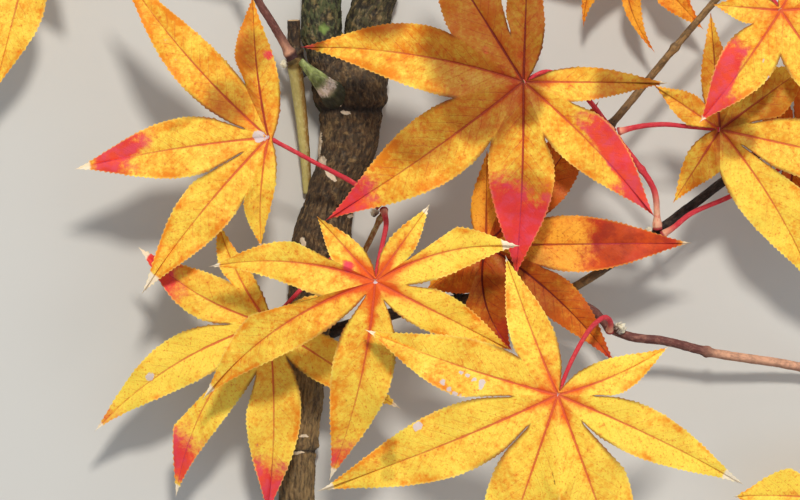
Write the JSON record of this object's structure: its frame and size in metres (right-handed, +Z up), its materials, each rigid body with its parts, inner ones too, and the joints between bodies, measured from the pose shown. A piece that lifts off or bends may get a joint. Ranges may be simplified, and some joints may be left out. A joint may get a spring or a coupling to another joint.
{
  "type": "japanese maple branch",
  "caption": "Cut maple branch in autumn leaf, lying down: a forked limb, side twigs, red leaf stalks and pointed, lobed yellow and orange leaves facing up.",
  "frame": {"origin": "under the middle of the branch's box, on the surface that it lies on", "axes": "+Z up from that surface, the way the leaves face; +Y along the limb from its lower cut to its fork; +X towards the leafy twigs"},
  "size_m": [0.285, 0.218, 0.0612],
  "materials": {
    "bark": "rough brown bark with dark and pale patches",
    "green_bark": "young bark, dull green with brown streaks",
    "olive_bark": "smooth olive young bark",
    "red_bark": "smooth red-brown young bark",
    "dark_bark": "smooth dark brown twig bark with pale pores",
    "stalk": "crimson, slightly waxy",
    "gold_leaf": "thin leaf, golden yellow with orange clouds, red veins and red tips",
    "orange_leaf": "thin leaf, orange with red veins",
    "bud": "green-brown bud scales"
  },
  "bodies": {
    "root": {"limb": "bark", "fork_left": "green_bark", "fork_right": "bark", "dead_stub": "bark", "side_spur": "green_bark", "hanging_shoot": "olive_bark", "red_twig": "red_bark", "left_twig": "olive_bark", "main_twig": "dark_bark", "upper_twig": "dark_bark", "middle_twig": "dark_bark", "lower_twig": "red_bark", "red_shoot": "stalk", "bud_left": "bud", "bud_stalks": "bud", "bud_middle": "bud", "bud_lower": "bud", "bud_spur": "bud", "leaf_left": "gold_leaf", "leaf_upper": "gold_leaf", "leaf_behind": "orange_leaf", "leaf_front": "gold_leaf", "leaf_low": "gold_leaf", "leaf_lower": "gold_leaf", "leaf_right": "gold_leaf", "leaf_corner": "gold_leaf", "leaf_top": "orange_leaf", "leaf_far": "gold_leaf", "leaf_floor": "gold_leaf", "leaf_under": "orange_leaf", "stalk_left": "stalk", "stalk_upper": "stalk", "stalk_behind": "stalk", "stalk_front": "stalk", "stalk_low": "stalk", "stalk_lower": "stalk", "stalk_right": "stalk", "stalk_corner": "stalk", "stalk_top": "stalk", "stalk_far": "stalk", "stalk_floor": "stalk", "stalk_under": "stalk"}
  },
  "joints": []
}
